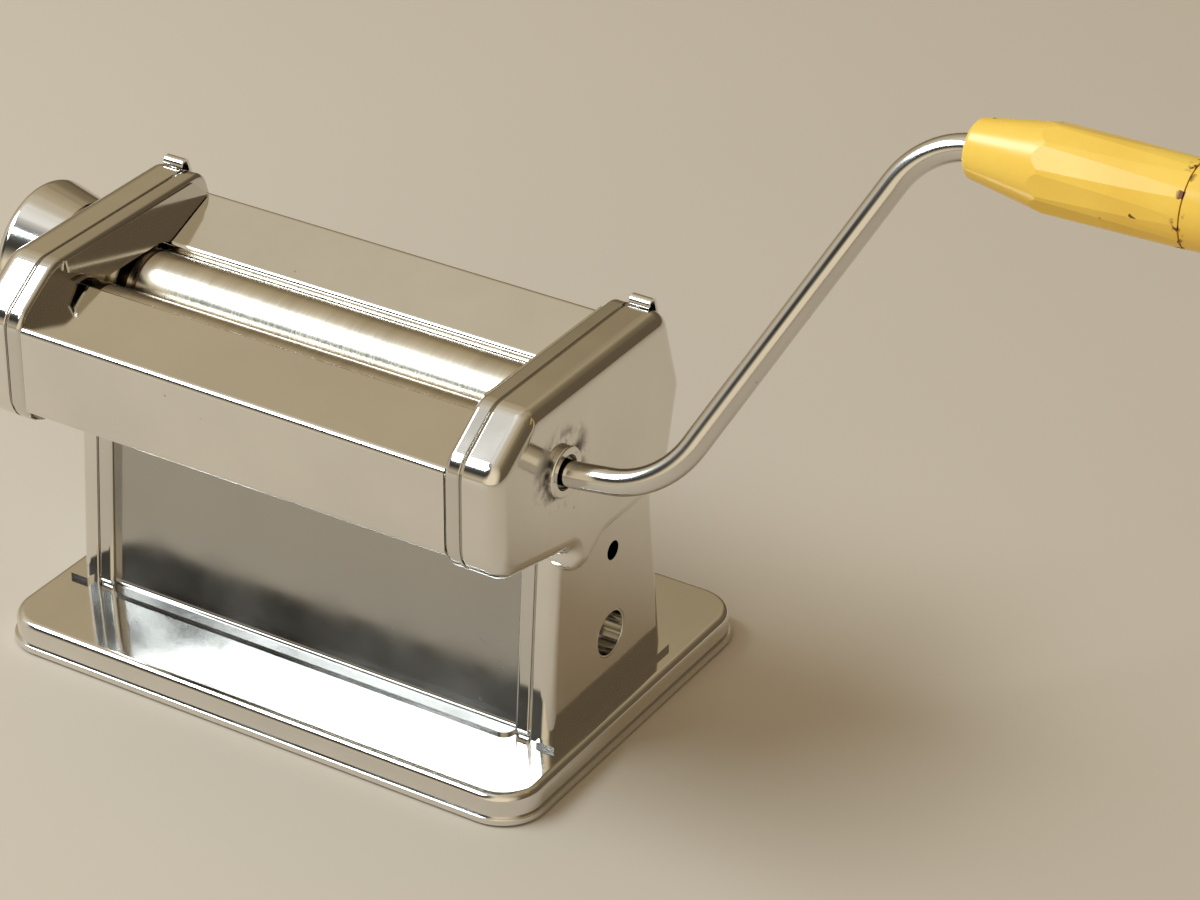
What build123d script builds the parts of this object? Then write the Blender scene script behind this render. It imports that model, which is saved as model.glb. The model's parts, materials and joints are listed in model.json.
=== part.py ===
"""Hand cranked dough roller: two rollers between pressed side housings on a tray.

Millimetres. +X points to the crank side, +Y to the back, +Z up. The origin is on
the ground, under the middle of the base tray.
"""
import os
from math import atan2, cos, degrees, radians, sin

from build123d import *

os.makedirs("parts", exist_ok=True)

# ---------------------------------------------------------------- rollers
roller_radius = 12.25
roller_length = 150.0
roller_gap_wide = 2.0
roller_gap_narrow = 0.3
front_roller_y = -38.8
roller_height = 111.8
ring_groove_inset = 3.2
ring_groove_width = 0.8
ring_groove_depth = 0.4
roller_chamfer = 0.4
running_fit = 0.05
press_clearance = 0.05
slide_end_gap = 0.4
gap_travel = roller_gap_wide - roller_gap_narrow
rear_roller_y = front_roller_y + 2 * roller_radius + roller_gap_wide
front_axis = (front_roller_y, roller_height)
rear_axis = (rear_roller_y, roller_height)
roller_top = roller_height + roller_radius

# ---------------------------------------------------------------- side housings
roller_side_gap = 2.0
plate_face = roller_length / 2 + roller_side_gap
plate_sheet = 1.2
plate_depth = 5.4
plate_rim_end = plate_face + plate_depth
plate_fold_round = 1.8
plate_rim_round = 0.5
rim_sheet = 1.3
seam_width = 0.8
lip_sheet = 1.2
lip_start = plate_face + 3.0
lip_end = plate_face + 8.5
lip_clearance = 0.15
cover_sheet = 1.0
cover_rim_round = 0.5
cover_start = plate_rim_end + seam_width
leg_depth = 6.8
head_depth = 12.8
leg_face = cover_start + leg_depth
head_face = cover_start + head_depth
head_face_round = 5.6
leg_face_round = 3.6
foot_flange_width = 3.0
foot_flange_height = 1.7
foot_flange_depth = 68.0
foot_flange_middle = -4.0
inner_foot_end = plate_face + 10.2
inner_foot_gap = 0.4

# ---------------------------------------------------------------- base
tray_border = 4.0
base_width = 2 * (head_face + tray_border)
base_depth = 138.0
deck_height = 10.6
tray_sheet = 1.0
tray_corner = 14.0
tray_edge_round = 2.6
tray_bead = 1.0
tray_bead_height = 2.0
tray_bead_round = 0.5
foot_proud = 0.8
foot_radius = 8.0
foot_inset = 17.0
foot_chamfer = 0.6

# ---------------------------------------------------------------- housing outline
front_line = -72.3
head_bottom_front = roller_height - 23.3
head_bottom_back = roller_height - 32.3
chamfer_low = roller_height + 13.0
chamfer_back = -53.5
head_top = roller_height + 25.6
head_back = 22.0
rear_corner = (31.0, roller_height - 2.8)
waist_rear = (22.5, roller_height - 27.8)
leg_rear = 31.5
leg_front = -36.3
leg_front_top = -31.5
bulge_bottom = roller_height - 36.3
bulge_dip = roller_height - 42.3
bulge_slope = (-14.0, -23.0)
bulge_front_step = 0.6
bulge_rear_step = 0.4

head_outline = [
    (front_line, head_bottom_front),
    (front_line, chamfer_low),
    (chamfer_back, head_top),
    (head_back, head_top),
    rear_corner,
    waist_rear,
    (leg_rear, deck_height),
    (leg_front, deck_height),
    (leg_front_top, head_bottom_back),
]
head_rounds = [12.0, 9.0, 9.0, 7.0, 6.0, 2.0, 2.5, 2.5, 3.0]

bulge_outline = [
    (front_line, head_bottom_front),
    (front_line, chamfer_low),
    (chamfer_back, head_top),
    (head_back, head_top),
    rear_corner,
    (waist_rear[0] + bulge_rear_step, bulge_bottom),
    (bulge_slope[0], bulge_bottom),
    (bulge_slope[1], bulge_dip),
    (leg_front_top - bulge_front_step, bulge_dip),
    (leg_front_top, head_bottom_back),
]
bulge_rounds = [12.0, 9.0, 9.0, 7.0, 6.0, 6.2, 5.0, 6.2, 6.2, 3.0]

leg_top = roller_height - 11.8

# ---------------------------------------------------------------- holes in the covers
crank_hole_radius = 7.0
ring_radius = 8.1
ring_bore = 5.6
ring_proud = 2.0
small_hole_radius = 3.2
lower_rod_axis = (0.2, 62.0)
clamp_axis = (-0.7, 32.3)
clamp_bore = 7.3
clamp_wall = 0.8
clamp_flange = 3.0
clamp_flange_sheet = 1.2
clamp_mouth_round = 0.3

# ---------------------------------------------------------------- bent sheet covers
cover_skin = 0.8
front_skin_gap = 0.3
front_fold_height = roller_height + 10.8
front_lip = (front_roller_y - 4.2, roller_top + 2.55)
front_lip_drop = 2.4
front_bottom = roller_height - 18.8
front_return = 5.0
front_folds = [2.2, 2.2, 1.2]
rear_lip = (rear_roller_y + roller_radius - 2.35, roller_top - 1.15)
rear_lip_drop = 2.6
rear_fold = (22.2, roller_height + 18.4)
rear_skin_gap = 1.0
rear_round = 1.8

# ---------------------------------------------------------------- chute under the rollers
chute_sheet = 1.0
chute_toe = -39.0
chute_foot = -32.5
chute_knee = (-27.0, roller_height - 33.8)
chute_head = (-9.0, roller_height - 16.8)
chute_round = 2.5
chute_toe_round = 4.0

# ---------------------------------------------------------------- guide cheeks
cheek_sheet = 0.8
cheek_lean = 13.0
cheek_top = head_top - 1.2
cheek_front = -49.0
cheek_front_drop = 3.8
cheek_low_front = -32.5
cheek_roller_gap = 0.55
cheek_drop = cheek_top - roller_top - cheek_roller_gap
cheek_low_back = -7.0
cheek_cover_gap = 0.4
cheek_heel = rear_lip[0] - 0.2
cheek_heel_drop = cheek_top - rear_lip[1] - cheek_cover_gap
cheek_back = 20.5
cheek_back_drop = 6.3
cheek_top_back = 14.8
cheek_tip_drop = 0.4
cheek_tab_middle = -20.0
cheek_tab_length = 40.0
cheek_tab_height = 4.0
cheek_tab_drop = 3.4

# ---------------------------------------------------------------- accessory rails
rail_sheet = 0.9
rail_width = 7.0
rail_start = cover_start + 0.4
rail_end = rail_start + rail_width
rail_bottom = rear_corner[1] + 1.8
rail_top = head_top + 0.7
rail_curl = 1.3
rail_curl_turn = 165.0

# ---------------------------------------------------------------- tie rods and screws
rod_radius = 3.0
rod_thread_radius = 2.4
thread_chamfer = 0.4
rod_nut_radius = 5.4
rod_nut_height = 2.8
rod_end = plate_face + 5.0
front_rod_axis = (-61.0, roller_height - 12.8)
rear_rod_axis = (14.0, roller_height - 14.8)
base_screw_radius = 2.0
base_screw_x = plate_face + 6.0
base_screw_y = (-22.0, 18.0)
screw_head_radius = 3.8
screw_head_height = 2.2
screw_head_round = 0.8
base_nut_radius = 4.0
base_nut_height = 3.0
screw_tip = 1.0

# ---------------------------------------------------------------- scrapers
blade_sheet = 0.6
blade_gap = 0.3
blade_round = 1.5
blade_lean = 1.2
scraper_angle = 45.0
scraper_bottom = roller_height - roller_radius - 6.05
scraper_foot = 7.0

# ---------------------------------------------------------------- gears
gear_teeth = 12
gear_pitch_radius = (rear_roller_y - front_roller_y) / 2
gear_tip = gear_pitch_radius + 1.75
gear_root = gear_pitch_radius - 3.95
tooth_root_width = 2.7
tooth_tip_width = 1.3
gear_start = plate_face + 4.5
gear_end = gear_start + 6.0
hub_radius = 8.5
hub_end = gear_end + 6.0

# ---------------------------------------------------------------- front roller journals
journal_radius = 6.0
journal_end = gear_start + 3.3
bush_wall = 1.5
bush_flange = 9.0
bush_flange_start = roller_length / 2 + 0.3
bush_end = plate_face + 3.5
left_journal_end = plate_face + 7.0
bushing_spigot = 1.8
ring_round = 0.6

# ---------------------------------------------------------------- gap adjuster
shaft_radius = 3.0
cam_radius = 4.2
setting_half_angle = 66.0
cam_throw = gap_travel / 2 / sin(radians(setting_half_angle))
shaft_y = rear_roller_y - gap_travel / 2
shaft_drop = cam_throw * (1 + cos(radians(setting_half_angle))) / 2
shaft_axis = (shaft_y, roller_height - shaft_drop)
shaft_flats = 4.6
shaft_end = plate_face + 17.6
cam_clearance = 0.12
left_cam_start = plate_face - 10.0
left_cam_end = plate_face - 1.0
right_cam_start = plate_face + 6.0
right_cam_end = plate_face + 14.0
sleeve_radius = 6.0
left_sleeve_start = left_cam_start - 1.0
left_sleeve_end = plate_face + 2.4
sleeve_neck = plate_face - 1.6
right_sleeve_start = right_cam_start - 1.0
sleeve_block = 10.6
tube_radius = 7.8
tube_end = gear_end + 0.1
tube_window_gap = 0.6
bracket_end = head_face - 1.2
bracket_start = bracket_end - 2.4
bracket_blind = 1.1
bracket_half_width = 9.5
bracket_foot = 4.0
bracket_low = roller_height - 20.8
bracket_high = roller_height + 19.2
bracket_sheet = 1.2
slot_gap = 0.1

# ---------------------------------------------------------------- knob
index_plate_radius = 20.0
index_plate_sheet = 1.4
index_hole_radius = 2.1
index_ring = 15.5
settings = 7
pin_radius = 1.4
pin_tip_gap = 0.3
pin_chamfer = 0.4
shaft_bush_radius = 5.5
shaft_bush_end = head_face + 2.2
shaft_bush_flange = 8.0
shaft_bush_flange_sheet = 1.4
knob_start = head_face + 2.6
knob_depth = 18.0
knob_end = knob_start + knob_depth
knob_back_radius = 22.2
knob_front_radius = 26.3
knob_sheet = 1.0
knob_front_round = 3.0
hub_plate_start = knob_start + 0.8
hub_plate_sheet = 1.6
retainer_start = hub_plate_start + 8.0
retainer_sheet = 1.4
retainer_radius = 7.0
knob_shaft_end = retainer_start + 2.8
spring_inner = 4.3
spring_outer = 5.8

# ---------------------------------------------------------------- crank
crank_tilt = 62.0
crank_rod_radius = 4.1
crank_start = journal_end + 0.4
crank_hex_end = hub_end + 1.1
crank_hex_size = 7.4
crank_points = [(100.0, 0.0), (128.5, 3.5), (181.0, 121.0), (290.0, 121.8)]
crank_rounds = [45.0, 29.0, 26.0]
grip_start = 13.5
grip_cone = 24.5
grip_length = 66.5
grip_nose_radius = 8.8
grip_radius = 12.9
grip_seam_radius = 12.5
grip_side_count = 10
grip_flat_size = 12.45
grip_edge_round = 1.2
nose_relief = 0.7
nose_relief_depth = 5.0
cap_length = 30.0
cap_radius = 12.4
cap_tail_radius = 11.6
cap_dome = 3.0
cap_spigot = 1.5
cap_joint = 0.3
cap_wall = 1.6
cap_cavity = 9.0
washer_radius = 8.0
washer_sheet = 1.2
washer_gap = 0.4
rod_past_washer = 3.0


def across(x, centre=(0.0, 0.0)):
    """Plane that faces +X at the given X, with its origin on an axis along X."""
    return Plane(origin=(x, centre[0], centre[1]), x_dir=(0, 1, 0), z_dir=(1, 0, 0))


def turned(x_from, x_to, radius, centre, mode=Mode.ADD):
    """Round stretch along X."""
    with BuildSketch(across(x_from, centre)) as section:
        Circle(radius)
    extrude(section.sketch, amount=x_to - x_from, mode=mode)


def outline_at(x, points, rounds, inset=0.0):
    """Rounded outline in the YZ plane at X, drawn in by an inset."""
    with BuildSketch(across(x)) as section:
        with BuildLine():
            FilletPolyline(*points, radius=rounds, close=True)
        make_face()
        if inset:
            offset(amount=-inset, kind=Kind.INTERSECTION)
    return section.sketch


def sheet_profile(x, points, radius, thickness, side=Side.LEFT):
    """Bent sheet section in the YZ plane, as thick as the sheet."""
    with BuildSketch(across(x)) as section:
        with BuildLine():
            FilletPolyline(*points, radius=radius)
            offset(amount=thickness, side=side)
        make_face()
    return section.sketch


def mirrored(solid, name):
    """Copy of a right hand piece for the left hand side."""
    with BuildPart() as copy:
        mirror(solid.part, about=Plane.YZ)
    copy.part.label = name
    export_step(copy.part, f"parts/{name}.step")
    return copy


def keep(piece, name):
    """Label a finished piece and write it."""
    piece.part.label = name
    export_step(piece.part, f"parts/{name}.step")


# ================================================================ base tray
deck_underside = deck_height - tray_sheet
tray_width = base_width - 2 * tray_bead
tray_depth = base_depth - 2 * tray_bead
screw_spots = [(side * base_screw_x, y) for side in (-1, 1) for y in base_screw_y]
foot_spots = [
    (side * (base_width / 2 - foot_inset), end * (base_depth / 2 - foot_inset))
    for side in (-1, 1)
    for end in (-1, 1)
]

with BuildPart() as base_tray:
    with BuildSketch(Plane.XY.offset(foot_proud)):
        RectangleRounded(base_width, base_depth, tray_corner + tray_bead)
    extrude(amount=tray_bead_height)
    fillet(base_tray.edges().group_by(Axis.Z)[-1], tray_bead_round)
    with BuildSketch(Plane.XY.offset(foot_proud)):
        RectangleRounded(tray_width, tray_depth, tray_corner)
    extrude(amount=deck_height - foot_proud)
    fillet(base_tray.edges().group_by(Axis.Z)[-1], tray_edge_round)
    with BuildSketch(Plane.XY.offset(foot_proud)):
        RectangleRounded(tray_width - 2 * tray_sheet, tray_depth - 2 * tray_sheet, tray_corner - tray_sheet)
    extrude(amount=deck_underside - foot_proud, mode=Mode.SUBTRACT)
    with BuildSketch(Plane.XY.offset(deck_underside)):
        with Locations(*screw_spots):
            Circle(base_screw_radius + press_clearance)
    extrude(amount=tray_sheet, mode=Mode.SUBTRACT)
keep(base_tray, "base_tray")

with BuildPart() as rubber_feet:
    with BuildSketch(Plane.XY):
        with Locations(*foot_spots):
            Circle(foot_radius)
    extrude(amount=deck_underside)
    chamfer(rubber_feet.edges().group_by(Axis.Z)[0], foot_chamfer)
keep(rubber_feet, "rubber_feet")


# ================================================================ side plates
sleeve_slot = sleeve_radius + slide_end_gap
tube_slot = tube_radius + tube_window_gap
slot_middle = (rear_roller_y - gap_travel / 2, roller_height)
foot_depth = leg_rear - leg_front - 2 * (cover_sheet + inner_foot_gap)
foot_middle = (leg_rear + leg_front) / 2
foot_centre_x = (plate_face + inner_foot_end) / 2


def plate_form():
    """Pressed pan with its rim, its lip for the cover and its inner foot."""
    with BuildPart() as pan:
        extrude(to_extrude=outline_at(plate_face, head_outline, head_rounds), amount=plate_depth)
        fillet(pan.faces().sort_by(Axis.X)[0].edges(), plate_fold_round)
        fillet(pan.faces().sort_by(Axis.X)[-1].edges(), plate_rim_round)
    add(pan.part)
    inner_start = plate_face + plate_sheet
    extrude(
        to_extrude=outline_at(inner_start, head_outline, head_rounds, rim_sheet),
        amount=plate_rim_end - inner_start,
        mode=Mode.SUBTRACT,
    )
    lip_outer = cover_sheet + lip_clearance
    lip_outline = outline_at(lip_start, head_outline, head_rounds, lip_outer)
    lip_hollow = outline_at(lip_start, head_outline, head_rounds, lip_outer + lip_sheet)
    extrude(to_extrude=lip_outline - lip_hollow, amount=lip_end - lip_start)
    with BuildSketch(Plane.XY.offset(deck_height)) as inner_foot:
        with Locations((foot_centre_x, foot_middle)):
            Rectangle(inner_foot_end - plate_face, foot_depth)
        with Locations(*[(base_screw_x, y) for y in base_screw_y]):
            Circle(base_screw_radius + press_clearance, mode=Mode.SUBTRACT)
    with BuildSketch(Plane.XY.offset(deck_height)) as screw_holes:
        with Locations(*[(base_screw_x, y) for y in base_screw_y]):
            Circle(base_screw_radius + press_clearance)
    extrude(to_extrude=inner_foot.sketch, amount=rim_sheet)
    extrude(to_extrude=screw_holes.sketch, amount=rim_sheet, mode=Mode.SUBTRACT)
    with BuildSketch(Plane.XY.offset(deck_height + rim_sheet)) as screw_well:
        with Locations(((plate_face + plate_sheet + lip_end) / 2, foot_middle)):
            Rectangle(lip_end - plate_face - plate_sheet, foot_depth)
    extrude(to_extrude=screw_well.sketch, amount=lip_outer + lip_sheet, mode=Mode.SUBTRACT)
    for axis in (front_rod_axis, rear_rod_axis, lower_rod_axis):
        turned(plate_face, inner_start, rod_thread_radius + press_clearance, axis, Mode.SUBTRACT)
    turned(plate_face, inner_start, journal_radius + bush_wall + press_clearance, front_axis, Mode.SUBTRACT)


with BuildPart() as side_plate_right:
    plate_form()
    with BuildSketch(across(plate_face, slot_middle)):
        SlotCenterToCenter(gap_travel, 2 * tube_slot)
    extrude(amount=plate_sheet, mode=Mode.SUBTRACT)
    turned(plate_face, plate_face + plate_sheet, clamp_bore + clamp_wall + press_clearance, clamp_axis,
           Mode.SUBTRACT)
keep(side_plate_right, "side_plate_right")

with BuildPart() as left_plate_right_handed:
    plate_form()
    with BuildSketch(across(plate_face, slot_middle)):
        SlotCenterToCenter(gap_travel, 2 * sleeve_slot)
        Rectangle(gap_travel + 2 * sleeve_slot, sleeve_block + 2 * slot_gap, mode=Mode.INTERSECT)
    extrude(amount=plate_sheet, mode=Mode.SUBTRACT)
side_plate_left = mirrored(left_plate_right_handed, "side_plate_left")


# ================================================================ side covers
leg_outline = [
    (leg_front_top, head_bottom_back),
    (leg_front_top, leg_top),
    (waist_rear[0], leg_top),
    waist_rear,
    (leg_rear, deck_height),
    (leg_front, deck_height),
]
leg_lean = (leg_front_top - leg_front) / (head_bottom_back - deck_height)
rear_lean = (leg_rear - waist_rear[0]) / (waist_rear[1] - deck_height)
open_foot = deck_height - cover_sheet
leg_hollow = [
    (leg_front_top, head_bottom_back),
    (leg_front_top, leg_top),
    (waist_rear[0], leg_top),
    waist_rear,
    (leg_rear + rear_lean * 2 * cover_sheet, deck_height - 2 * cover_sheet),
    (leg_front - leg_lean * 2 * cover_sheet, deck_height - 2 * cover_sheet),
]


def cover_block(points, rounds, face, edge_round, inset):
    """Solid block from the rim to a face, with its face edge rounded."""
    top = face - inset
    with BuildPart() as block:
        extrude(to_extrude=outline_at(cover_start, points, rounds, inset), amount=top - cover_start)
        fillet(block.faces().sort_by(Axis.X)[-1].edges(), edge_round - inset)
        if not inset:
            fillet(block.faces().sort_by(Axis.X)[0].edges(), cover_rim_round)
    return block.part


def cover_form():
    """Deep drawn cover: a proud head over a lower leg, open at the rim and the foot."""
    add(head_solid)
    add(leg_solid)
    with BuildSketch(Plane.XY.offset(deck_height)) as foot_flange:
        with Locations(((leg_face - leg_face_round + leg_face + foot_flange_width) / 2, foot_flange_middle)):
            Rectangle(foot_flange_width + leg_face_round, foot_flange_depth)
    extrude(to_extrude=foot_flange.sketch, amount=foot_flange_height)
    add(head_cavity, mode=Mode.SUBTRACT)
    add(leg_cavity, mode=Mode.SUBTRACT)
    turned(cover_start, head_face, small_hole_radius, lower_rod_axis, Mode.SUBTRACT)


def leg_block(points, inset):
    """Leg block whose front, face and rear edges are rounded."""
    with BuildSketch(across(cover_start)) as section:
        Polygon(*points, align=None)
        if inset:
            offset(amount=-inset, kind=Kind.INTERSECTION)
    with BuildPart() as block:
        extrude(to_extrude=section.sketch, amount=leg_face - inset - cover_start)
        rims = block.faces().sort_by(Axis.X)[-1].edges()
        fillet(rims.sort_by(Axis.Z)[1:], leg_face_round - inset)
        if not inset:
            rims = block.faces().sort_by(Axis.X)[0].edges()
            fillet(rims.sort_by(Axis.Z)[1:], cover_rim_round)
    return block.part


head_solid = cover_block(bulge_outline, bulge_rounds, head_face, head_face_round, 0.0)
head_cavity = cover_block(bulge_outline, bulge_rounds, head_face, head_face_round, cover_sheet)
leg_solid = leg_block(leg_outline, 0.0)
leg_cavity = leg_block(leg_hollow, cover_sheet)

with BuildPart() as side_cover_right:
    cover_form()
    turned(leg_face, head_face, crank_hole_radius + press_clearance, front_axis, Mode.SUBTRACT)
    turned(cover_start, leg_face, clamp_bore + clamp_wall + press_clearance, clamp_axis, Mode.SUBTRACT)
keep(side_cover_right, "side_cover_right")

with BuildPart() as left_cover_right_handed:
    cover_form()
    turned(leg_face, head_face, shaft_bush_radius + press_clearance, shaft_axis, Mode.SUBTRACT)
side_cover_left = mirrored(left_cover_right_handed, "side_cover_left")


# ================================================================ sheet covers between the plates
def sheet_between(points, radius, thickness, side):
    """Bent sheet that spans from plate to plate."""
    extrude(to_extrude=sheet_profile(-plate_face, points, radius, thickness, side), amount=2 * plate_face)


front_skin = front_line + front_skin_gap
with BuildPart() as front_cover:
    sheet_between(
        [
            (front_skin + front_return, front_bottom),
            (front_skin, front_bottom),
            (front_skin, front_fold_height),
            front_lip,
            (front_lip[0], front_lip[1] - front_lip_drop),
        ],
        front_folds,
        cover_skin,
        Side.RIGHT,
    )
keep(front_cover, "front_cover")

with BuildPart() as rear_cover:
    sheet_between(
        [
            (rear_lip[0], rear_lip[1] - rear_lip_drop),
            rear_lip,
            rear_fold,
            (rear_corner[0] - rear_skin_gap, rear_corner[1]),
            (waist_rear[0] - rear_skin_gap, waist_rear[1]),
            (waist_rear[0] - rear_skin_gap - front_return, waist_rear[1]),
        ],
        rear_round,
        cover_skin,
        Side.RIGHT,
    )
keep(rear_cover, "rear_cover")

with BuildPart() as dough_chute:
    sheet_between(
        [(chute_toe, deck_height), (chute_foot, deck_height), chute_knee, chute_head],
        chute_round,
        chute_sheet,
        Side.LEFT,
    )
    toe_corners = dough_chute.edges().filter_by(Axis.Z).group_by(Axis.Y)[0]
    fillet(toe_corners, chute_toe_round)
keep(dough_chute, "dough_chute")


# ================================================================ guide cheeks
cheek_slope = 1 / cos(radians(cheek_lean))
cheek_plane = Plane(
    origin=(plate_face, 0, cheek_top),
    x_dir=(0, 1, 0),
    z_dir=(-cos(radians(cheek_lean)), 0, sin(radians(cheek_lean))),
)
with BuildPart() as cheek_right:
    with BuildSketch(cheek_plane):
        Polygon(
            (cheek_front, 0),
            (cheek_front, cheek_front_drop * cheek_slope),
            (cheek_low_front, cheek_drop * cheek_slope),
            (cheek_low_back, cheek_drop * cheek_slope),
            (cheek_heel, cheek_heel_drop * cheek_slope),
            (cheek_back, cheek_back_drop * cheek_slope),
            (cheek_top_back, cheek_tip_drop * cheek_slope),
            align=None,
        )
    extrude(amount=cheek_sheet)
    with BuildSketch(across(plate_face - cheek_sheet)):
        with Locations((cheek_tab_middle, cheek_top - cheek_tab_drop)):
            Rectangle(cheek_tab_length, cheek_tab_height)
    extrude(amount=cheek_sheet)
keep(cheek_right, "cheek_right")
cheek_left = mirrored(cheek_right, "cheek_left")


# ================================================================ accessory rails
slope_run = (rear_corner[0] - head_back) / (head_top - rear_corner[1])


def slope_y(z):
    """Y of the rear slope of the housings at a height."""
    return rear_corner[0] - slope_run * (z - rear_corner[1])


with BuildPart() as rail_right:
    with BuildSketch(across(rail_start)) as rail_section:
        with BuildLine():
            rail_flat = Line((slope_y(rail_bottom), rail_bottom), (slope_y(rail_top), rail_top))
            JernArc(start=rail_flat @ 1, tangent=rail_flat % 1, radius=rail_curl, arc_size=rail_curl_turn)
            offset(amount=rail_sheet, side=Side.RIGHT)
        make_face()
    extrude(to_extrude=rail_section.sketch, amount=rail_end - rail_start)
keep(rail_right, "rail_right")
rail_left = mirrored(rail_right, "rail_left")


# ================================================================ tie rods, nuts and scrapers
def tie_rod(axis, name):
    """Rod between the plates with a thinner thread through each plate."""
    with BuildPart() as rod:
        turned(-plate_face, plate_face, rod_radius, axis)
        turned(-rod_end, rod_end, rod_thread_radius, axis)
        chamfer(rod.edges().group_by(Axis.X)[-1], thread_chamfer)
        chamfer(rod.edges().group_by(Axis.X)[0], thread_chamfer)
    keep(rod, name)
    return rod


tie_rod_front = tie_rod(front_rod_axis, "tie_rod_front")
tie_rod_rear = tie_rod(rear_rod_axis, "tie_rod_rear")
tie_rod_lower = tie_rod(lower_rod_axis, "tie_rod_lower")

with BuildPart() as tie_rod_nuts:
    for start in (plate_face + plate_sheet, -plate_face - plate_sheet - rod_nut_height):
        for axis in (front_rod_axis, rear_rod_axis, lower_rod_axis):
            with BuildSketch(across(start, axis)):
                RegularPolygon(rod_nut_radius, 6)
                Circle(rod_thread_radius + press_clearance, mode=Mode.SUBTRACT)
            extrude(amount=rod_nut_height)
keep(tie_rod_nuts, "tie_rod_nuts")

scrape = radians(scraper_angle)
tip_reach = roller_radius + blade_gap + blade_sheet
with BuildPart() as scraper_front:
    sheet_between(
        [
            (front_roller_y - tip_reach * cos(scrape), roller_height - tip_reach * sin(scrape)),
            (front_roller_y - tip_reach * cos(scrape) + blade_lean, scraper_bottom),
            (front_roller_y - tip_reach * cos(scrape) + blade_lean - scraper_foot, scraper_bottom),
        ],
        blade_round,
        blade_sheet,
        Side.RIGHT,
    )
keep(scraper_front, "scraper_front")

with BuildPart() as scraper_rear:
    sheet_between(
        [
            (rear_roller_y + tip_reach * cos(scrape), roller_height - tip_reach * sin(scrape)),
            (rear_roller_y + tip_reach * cos(scrape) - blade_lean, scraper_bottom),
            (rear_roller_y + tip_reach * cos(scrape) - blade_lean + scraper_foot, scraper_bottom),
        ],
        blade_round,
        blade_sheet,
        Side.LEFT,
    )
keep(scraper_rear, "scraper_rear")

screw_seat = deck_height + rim_sheet
with BuildPart() as base_screws:
    with BuildSketch(Plane.XY.offset(screw_seat)):
        with Locations(*screw_spots):
            Circle(screw_head_radius)
    extrude(amount=screw_head_height)
    fillet(base_screws.edges().group_by(Axis.Z)[-1], screw_head_round)
    with BuildSketch(Plane.XY.offset(screw_seat)):
        with Locations(*screw_spots):
            Circle(base_screw_radius)
    extrude(amount=-(screw_seat - deck_underside + base_nut_height + screw_tip))
keep(base_screws, "base_screws")

with BuildPart() as base_nuts:
    with BuildSketch(Plane.XY.offset(deck_underside)):
        with Locations(*screw_spots):
            RegularPolygon(base_nut_radius, 6)
            Circle(base_screw_radius + press_clearance, mode=Mode.SUBTRACT)
    extrude(amount=-base_nut_height)
keep(base_nuts, "base_nuts")

with BuildPart() as clamp_socket:
    turned(plate_face, leg_face, clamp_bore + clamp_wall, clamp_axis)
    turned(plate_face + plate_sheet, plate_face + plate_sheet + clamp_flange_sheet,
           clamp_bore + clamp_flange, clamp_axis)
    turned(plate_face, leg_face, clamp_bore, clamp_axis, Mode.SUBTRACT)
    fillet(clamp_socket.edges().group_by(Axis.X)[-1], clamp_mouth_round)
keep(clamp_socket, "clamp_socket")


# ================================================================ rollers and their bearings
roller_half = roller_length / 2
with BuildPart() as front_roller:
    turned(-roller_half, roller_half, roller_radius, front_axis)
    chamfer(front_roller.edges().filter_by(GeomType.CIRCLE), roller_chamfer)
    turned(roller_half, journal_end, journal_radius, front_axis)
    turned(-left_journal_end, -roller_half, journal_radius, front_axis)
    for start in (-roller_half + ring_groove_inset, roller_half - ring_groove_inset - ring_groove_width):
        with BuildSketch(across(start, front_axis)):
            Circle(roller_radius)
            Circle(roller_radius - ring_groove_depth, mode=Mode.SUBTRACT)
        extrude(amount=ring_groove_width, mode=Mode.SUBTRACT)
keep(front_roller, "front_roller")

with BuildPart() as rear_roller:
    turned(-roller_half, roller_half, roller_radius, rear_axis)
    chamfer(rear_roller.edges().filter_by(GeomType.CIRCLE), roller_chamfer)
    turned(roller_half, tube_end, tube_radius, rear_axis)
    for start in (-roller_half + ring_groove_inset, roller_half - ring_groove_inset - ring_groove_width):
        with BuildSketch(across(start, rear_axis)):
            Circle(roller_radius)
            Circle(roller_radius - ring_groove_depth, mode=Mode.SUBTRACT)
        extrude(amount=ring_groove_width, mode=Mode.SUBTRACT)
    turned(-roller_half, tube_end, sleeve_radius + running_fit, rear_axis, Mode.SUBTRACT)
keep(rear_roller, "rear_roller")

with BuildPart() as front_bush_right:
    turned(bush_flange_start, plate_face, bush_flange, front_axis)
    turned(plate_face, bush_end, journal_radius + bush_wall, front_axis)
    turned(bush_flange_start, bush_end, journal_radius + running_fit, front_axis, Mode.SUBTRACT)
keep(front_bush_right, "front_bush_right")
front_bush_left = mirrored(front_bush_right, "front_bush_left")

cam_swing = (cam_throw - cam_throw * cos(radians(setting_half_angle))) / 2


def sleeve_bore(x_from, x_to):
    """Tall bore in which the cam turns while the sleeve only slides along Y."""
    with BuildSketch(across(x_from, rear_axis)) as tall_bore:
        SlotCenterToCenter(2 * cam_swing, 2 * (cam_radius + cam_clearance), rotation=90)
    extrude(to_extrude=tall_bore.sketch, amount=x_to - x_from, mode=Mode.SUBTRACT)


def sleeve_head(x_from, x_to):
    """Stretch with two flats that keeps the sleeve from turning."""
    with BuildSketch(across(x_from, rear_axis)) as flatted:
        Circle(sleeve_radius)
        Rectangle(2 * sleeve_radius, sleeve_block, mode=Mode.INTERSECT)
    extrude(to_extrude=flatted.sketch, amount=x_to - x_from)


with BuildPart() as slide_bush_left:
    turned(-sleeve_neck, -left_sleeve_start, sleeve_radius, rear_axis)
    sleeve_head(-left_sleeve_end, -sleeve_neck)
    sleeve_bore(-left_sleeve_end, -left_sleeve_start)
keep(slide_bush_left, "slide_bush_left")

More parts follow.
